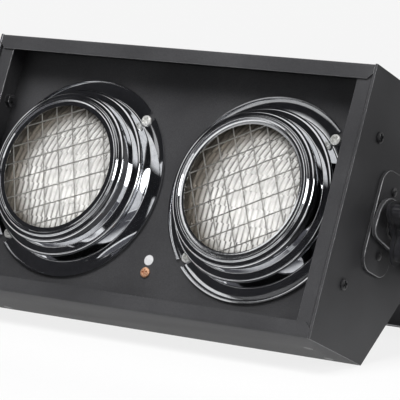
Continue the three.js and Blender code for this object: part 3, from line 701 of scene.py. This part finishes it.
def guardPiece(side, x):
    # two layers of straight wires crossing at right angles on a ring, turned about the lamp axis
    g = guard
    grids = []
    for layer, y in enumerate(g["layers"]):
        for index in range(-g["pairs"], g["pairs"] + 1):
            aside = index * g["pitch"]
            half = math.sqrt(g["ringRadius"] ** 2 - aside**2)
            along = np.linspace(-half, half, g["steps"])
            beside = np.full_like(along, aside)
            flat = (along, beside) if layer == 0 else (-beside, along)
            a, b = turned(*flat, math.radians(g[side]))
            path = np.stack([a + x, np.full_like(a, y), b + housing["middle"]], -1)
            grids.append((wireTube(path, g["wire"]), False, True))
    angle = roundAngles(g["ringSteps"])[:, None]
    around = roundAngles(g["ringSides"])[None, :]
    radial = g["ringRadius"] + g["ring"] * np.cos(around)
    y = sum(g["layers"]) / 2 + g["ring"] * np.sin(around) + 0 * angle
    ring = [radial * np.cos(angle) + x, y, radial * np.sin(angle) + housing["middle"]]
    grids.append((np.stack(ring, -1), True, True))
    piece = pieceFromGrids(f"wire_guard_{side}_welded", grids, finish["guardWire"], sharpAngle=60)
    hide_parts(f"wire_guard_{side}")


# a cross is (width, length, depth)
heads = {
    "bezelScrew": {"head": 4.5, "height": 2.6, "shank": 1.9, "length": 9.0, "cross": (2.0, 5.8, 2.4)},
    "sideBolt": {"head": 4.6, "height": 2.4, "shank": 2.5, "length": 11.0, "cross": (1.7, 5.6, 1.9)},
    "pivotRivet": {"head": 3.6, "height": 1.5, "shank": 1.8, "length": 9.2, "cross": (2.0, 2.0, 0.8)},
    "earthScrew": {"head": 4.2, "height": 2.4, "shank": 2.0, "length": 9.0, "cross": (1.2, 5.0, 1.2)},
    "flat": 0.75,  # the dome is this share of a half ellipsoid's drop
    "sharp": 14,  # how steeply a cross falls, per millimetre
    "rings": 40,
    "around": 96,
}


def headGrid(kind):
    # a domed head whose height drops by a smooth step inside a cross
    h = heads[kind]
    width, length, depth = h["cross"]
    share = np.linspace(0, 1, heads["rings"])[:, None]
    angle = roundAngles(heads["around"])
    a, b = share * h["head"] * np.cos(angle), share * h["head"] * np.sin(angle)
    crown = h["height"] * np.sqrt(np.clip(1 - heads["flat"] * share**2, 0, 1)) + 0 * angle

    def within(distance, size):
        return 1 / (1 + np.exp((np.abs(distance) - size / 2) * heads["sharp"]))

    arms = np.maximum(within(a, width) * within(b, length), within(b, width) * within(a, length))
    return a, b, crown - depth * arms


def headPiece(kind, name, replaced, look, seat, turn, way=0):
    # head at the seat facing the front, shank to the back; a way of 1 or -1 faces right or left
    h = heads[kind]
    a, b, lift = headGrid(kind)
    a, b = turned(a, b, math.radians(turn))
    profile = [(h["head"], 0.0), (h["shank"], 0.0), (h["shank"], h["length"]), (0.0, h["length"])]
    grid = np.concatenate([np.stack([a, -lift, b], -1), revolved(profile, heads["around"])])
    if way:
        grid = np.stack([-way * grid[..., 1], grid[..., 0], grid[..., 2]], -1)
    grid = grid + np.asarray(seat, float)
    piece = pieceFromGrids(name, [(grid, False, True)], finish[look], sharpAngle=40)
    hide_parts(replaced)


for side, sign in sides:
    x = sign * housing["lampX"]
    bezelPiece(side, x)
    lensPiece(side, x)
    bowlPiece(side, x)
    guardPiece(side, x)
    for (level, end), turn in zip(levels, (20, 55)):
        reach = end * screwReach
        seat = (x + reach, housing["flangeFront"] - housing["seat"], housing["middle"] + reach)
        node = f"bezel_screw_{level}_{side}"
        headPiece("bezelScrew", node + "_cross", node, "nickelPlate", seat, turn)

# kind of head, start of the nodes' names, y, distance from the middle, outside it stands on, turn
sideHeads = (
    ("sideBolt", "side_bolt", 27.5, 59.0, "sideOuter", 28),
    ("pivotRivet", "pivot_rivet", 62.5, 26.0, "plateOuter", 0),
)
for side, way in sides:
    for level, end in levels:
        for kind, start, y, spread, outer, turn in sideHeads:
            seat = (way * (housing[outer] + housing["seat"]), y, housing["middle"] + end * spread)
            node = f"{start}_{level}_{side}"
            headPiece(kind, node + "_turned", node, "blackSteel", seat, turn, way)

earthSeat = (0, housing["recess"] - housing["seat"], 38.5)
headPiece("earthScrew", "earth_screw_cross", "earth_screw", "copperScrew", earthSeat, 12)
print("lamps and bezels made")

# the white disc above the earth screw
disc = {"radius": 4.3, "thickness": 0.35, "edge": 0.12, "sunk": 0.02, "z": 49.0, "segments": 64}


def discPiece():
    face, back = housing["recess"] - disc["thickness"], housing["recess"] - disc["sunk"]
    corners = [(0, face), (disc["radius"], face, disc["edge"]), (disc["radius"], back), (0, back)]
    grid = revolved(roundedPath(corners, 3), disc["segments"], (0, 0, disc["z"]))
    pieceFromGrids("white_disc", [(grid, False, True)], finish["discWhite"])


discPiece()

knob = {
    "lobes": 4,
    "tip": 34.0,
    "waist": 20.0,
    "power": 1.5,
    "thickness": 17.0,
    "round": 4.0,
    "turn": -12.0,
    "boss": 10.5,
    "bossLength": 6.0,
    "bore": 5.4,
    "boreEnd": 10.3,
    "dip": 0.4,  # how far the middle of the face lies below its edge
    "faceShares": (0.8, 0.55, 0.3, 0.0),
    "rimPoints": 8,
    "segments": 240,
    "sharp": 45,
}


def knobPiece(side, sign):
    # reach swings between waist and tip with a cosine to a power; both faces end in a rim whose
    # edge is a quarter circle, and the wall between the rims is set in by its radius
    k = knob
    angle = roundAngles(k["segments"])
    lobe = ((1 + np.cos(k["lobes"] * (angle - math.radians(k["turn"])))) / 2) ** k["power"]
    reach = k["waist"] + (k["tip"] - k["waist"]) * lobe
    turn = np.linspace(0, math.pi / 2, k["rimPoints"])
    inset, drop = k["round"] * (1 - np.sin(turn)), k["round"] * (1 - np.cos(turn))
    rims = list(zip(inset[::-1], drop[::-1])) + list(zip(inset, k["thickness"] - drop))
    rows = [(reach - back, level) for back, level in rims]
    edge, top = rows[-1]
    rows += [(edge * share, top - k["dip"] * (1 - share)) for share in k["faceShares"]]
    bore, boss, start = k["bore"], k["boss"], -k["bossLength"]
    inner = [(0, k["boreEnd"]), (bore, k["boreEnd"]), (bore, start), (boss, start)]
    profile = inner + [(boss, rows[0][1])] + rows
    u, v = (np.stack([r * swing for r, _ in profile]) for swing in (np.cos(angle), np.sin(angle)))
    w = np.stack([level + 0 * angle for _, level in profile])
    x = sign * (housing["knobInner"] + k["bossLength"] + w)
    grid = np.stack([x, housing["tiltAxis"][0] + u, housing["tiltAxis"][1] + v], -1)
    name, look = f"tilt_knob_{side}_lobed", finish["knobPlastic"]
    piece = pieceFromGrids(name, [(grid, False, True)], look, f"knob_{side}", k["sharp"])
    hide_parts(f"tilt_knob_{side}")


for side, sign in sides:
    knobPiece(side, sign)
print("knobs made")

studio = {
    "floor": 60.0,  # metres from the middle to its edges
    "paper": (0.82, 0.82, 0.82, 1),
    "paperRoughness": 0.9,
    "paperWhite": 0.82,  # share of white, which leaves the object's shadow on the floor
    "room": 0.6,  # strength of the light from the world
}


def whiteBackground(tree, share):
    # white to the camera, to metal and to glass
    path = tree.nodes.new("ShaderNodeLightPath")
    seen = mathNode(tree, "MAXIMUM", path.outputs["Is Camera Ray"], path.outputs["Is Glossy Ray"])
    seen = mathNode(tree, "MAXIMUM", seen, path.outputs["Is Transmission Ray"])
    return mathNode(tree, "MULTIPLY", seen, share)


def flatSheet(name, left, right, near, far, level):
    mesh = bpy.data.meshes.new(name)
    corners = [(left, near, level), (right, near, level), (right, far, level), (left, far, level)]
    mesh.from_pydata(corners, [], [(0, 1, 2, 3)])
    return linked(name, mesh)


def studioFloor():
    half = studio["floor"]
    floor = flatSheet("studioFloor", -half, half, -half, half, 0)
    material, tree, shader = newMaterial("studioPaper")
    setSockets(shader, {"Base Color": studio["paper"], "Roughness": studio["paperRoughness"]})
    glow = tree.nodes.new("ShaderNodeEmission")
    setSockets(glow, {"Strength": 1.0})
    shaderMix(tree, whiteBackground(tree, studio["paperWhite"]), shader, glow, materialOutput(tree))
    floor.data.materials.append(material)


def softPatch(tree, across, up, patch):
    # a share between two values across and two values up that fades out over the soft width
    left, right, low, high, soft, share = patch
    steps = [
        smoothStep(tree, across, left - soft, left),
        smoothStep(tree, across, right + soft, right),
        smoothStep(tree, up, low - soft, low),
        smoothStep(tree, up, high + soft, high),
    ]
    sideways = mathNode(tree, "MULTIPLY", steps[0], steps[1])
    upward = mathNode(tree, "MULTIPLY", steps[2], steps[3])
    return mathNode(tree, "MULTIPLY", mathNode(tree, "MULTIPLY", sideways, upward), share)


def clothMaterial(name, grey):
    # dull cloth and a see-through shader, to be mixed by a mask, and the point in the room
    material, tree, cloth = newMaterial(name)
    setSockets(cloth, {"Base Color": (grey, grey, 1.1 * grey, 1), "Roughness": 1.0})
    setSockets(cloth, {"Specular IOR Level": 0.0})
    clear = tree.nodes.new("ShaderNodeBsdfTransparent")
    return material, tree, cloth, clear, tree.nodes.new("ShaderNodeTexCoord").outputs["Object"]


# azimuth from and to (0 is the front, positive to the right), elevation from and to, soft, share
tent = {
    "radius": 2.7,
    "middle": 0.11,
    "lowest": -8,  # degrees, where its foot is
    "columns": 97,
    "rings": 40,
    "grey": 0.036,
    "openings": [
        (-46, 44, 45, 82, 6, 0.9),
        (30, 60, -8, 21, 4, 0.85),
        (40, 74, 22, 34, 4, 0.3),
        (-96, -66, -8, 30, 5, 1.0),
        (-46, -28, -1, 3.5, 1.5, 0.6),
        (-37.9, -34.9, 22.3, 24.6, 0.5, 0.75),
        (-35.3, -33.6, 27.2, 28.7, 0.5, 1.0),
        (-38.4, -35.0, 29.8, 32.2, 0.8, 0.42),
        (-33.6, -30, 22.4, 25.5, 1, 0.1),
        (100, 179, -8, 40, 12, 0.35),
        (-179, -100, -8, 40, 12, 0.45),
    ],
}


def studioTent():
    # a black tent round the light with openings to the white background, which the chrome
    # mirrors; the camera looks through it
    turn = np.linspace(-math.pi, math.pi, tent["columns"])
    rise = np.linspace(math.radians(tent["lowest"]), math.pi / 2, tent["rings"])[:, None]
    r = tent["radius"]
    x, y = r * np.cos(rise) * np.sin(turn), -r * np.cos(rise) * np.cos(turn)
    grid = np.stack([x, y, tent["middle"] + r * np.sin(rise) + 0 * turn], -1)
    mesh = bpy.data.meshes.new("studioTent")
    mesh.from_pydata(grid.reshape(-1, 3).tolist(), [], gridFaces(*grid.shape[:2], False, False).tolist())
    dome = linked("studioTent", mesh)
    material, tree, cloth, clear, place = clothMaterial("blackCloth", tent["grey"])
    split = tree.nodes.new("ShaderNodeSeparateXYZ")
    tree.links.new(vectorNode(tree, "SUBTRACT", place, (0, 0, tent["middle"]), "Vector"), split.inputs[0])
    front = mathNode(tree, "MULTIPLY", split.outputs["Y"], -1.0)
    azimuth = mathNode(tree, "ARCTAN2", split.outputs["X"], front)
    elevation = mathNode(tree, "ARCSINE", mathNode(tree, "DIVIDE", split.outputs["Z"], r))
    total = 0.0
    for opening in tent["openings"]:
        patch = [math.radians(angle) for angle in opening[:5]] + [opening[5]]
        total = mathNode(tree, "ADD", softPatch(tree, azimuth, elevation, patch), total)
    shaderMix(tree, mathNode(tree, "MINIMUM", total, 1.0), cloth, clear, materialOutput(tree))
    mesh.materials.append(material)
    dome.visible_camera = False


# x from and to, y from and to, soft width, share; then the grey of each
cards = {
    "front": (-0.42, 1.2, -1.4, -0.3, 0.12, 1.0),
    "behind": (0.36, 1.2, -0.3, 1.6, 0.12, 1.0),
    "grey": {"front": 0.08, "behind": 0.02},
    "level": 0.001,
}


def floorCard(name):
    # a dark card on the floor with faded edges: the front one keeps the chrome's lower steps dark,
    # the one behind does so for the right side
    left, right, near, far, soft, _ = cards[name]
    card = flatSheet("floorCard_" + name, left - soft, right + soft, near - soft, far + soft, cards["level"])
    material, tree, cloth, clear, place = clothMaterial("greyCard_" + name, cards["grey"][name])
    split = tree.nodes.new("ShaderNodeSeparateXYZ")
    tree.links.new(place, split.inputs[0])
    share = softPatch(tree, split.outputs["X"], split.outputs["Y"], cards[name])
    shaderMix(tree, share, clear, cloth, materialOutput(tree))
    card.data.materials.append(material)
    card.visible_camera = card.visible_shadow = False


def studioWorld():
    world = bpy.data.worlds.new("studioWorld")
    bpy.context.scene.world = world
    world.use_nodes = True
    tree = world.node_tree
    tree.nodes.clear()
    room, white = (tree.nodes.new("ShaderNodeBackground") for _ in range(2))
    setSockets(room, {"Color": (1, 1, 1, 1), "Strength": studio["room"]})
    setSockets(white, {"Color": (1, 1, 1, 1)})
    shaderMix(tree, whiteBackground(tree, 1.0), room, white, tree.nodes.new("ShaderNodeOutputWorld"))


# azimuth, elevation, distance, size, watts, and whether metal and gloss mirror it
lights = {
    "keyLight": (2, 54, 2.2, 1.3, 50, False),
    "fillLight": (4, 6, 2.2, 1.2, 9, False),
    "sideLight": (126, 12, 2.2, 0.9, 3.5, True),
    "edgeLight": (62, 26, 2.2, 1.0, 16, True),
}
lightAim = (0, 0, 0.1)


def areaLight(name):
    azimuth, elevation, away, size, watts, mirrored = lights[name]
    light = bpy.data.lights.new(name, "AREA")
    light.shape, light.size, light.energy = "DISK", size, watts
    a, e = math.radians(azimuth), math.radians(elevation)
    x, y = away * math.cos(e) * math.sin(a), -away * math.cos(e) * math.cos(a)
    place = Vector((x, y, lightAim[2] + away * math.sin(e)))
    holder = linked(name, light)
    holder.location = place
    holder.rotation_euler = (Vector(lightAim) - place).to_track_quat("-Z", "Y").to_euler()
    holder.visible_glossy = mirrored


view = {
    "place": (1.1571, -1.69143, 0.33382),
    "right": (0.81812, 0.57329, 0.04506),
    "up": (-0.10025, 0.06502, 0.99284),
    "lens": 222.98,
    "sensor": 36.0,
}


def photoCamera():
    right, up = Vector(view["right"]).normalized(), Vector(view["up"]).normalized()
    camera = bpy.data.cameras.new("photoCamera")
    camera.sensor_width, camera.lens = view["sensor"], view["lens"]
    holder = linked("photoCamera", camera)
    turn = Matrix((right, up, right.cross(up))).transposed().to_4x4()
    holder.matrix_world = Matrix.Translation(Vector(view["place"])) @ turn
    bpy.context.scene.camera = holder


studioFloor()
studioWorld()
studioTent()
floorCard("front")
floorCard("behind")
for name in lights:
    areaLight(name)
photoCamera()
bpy.context.scene.view_settings.view_transform = "Standard"
print("studio ready")
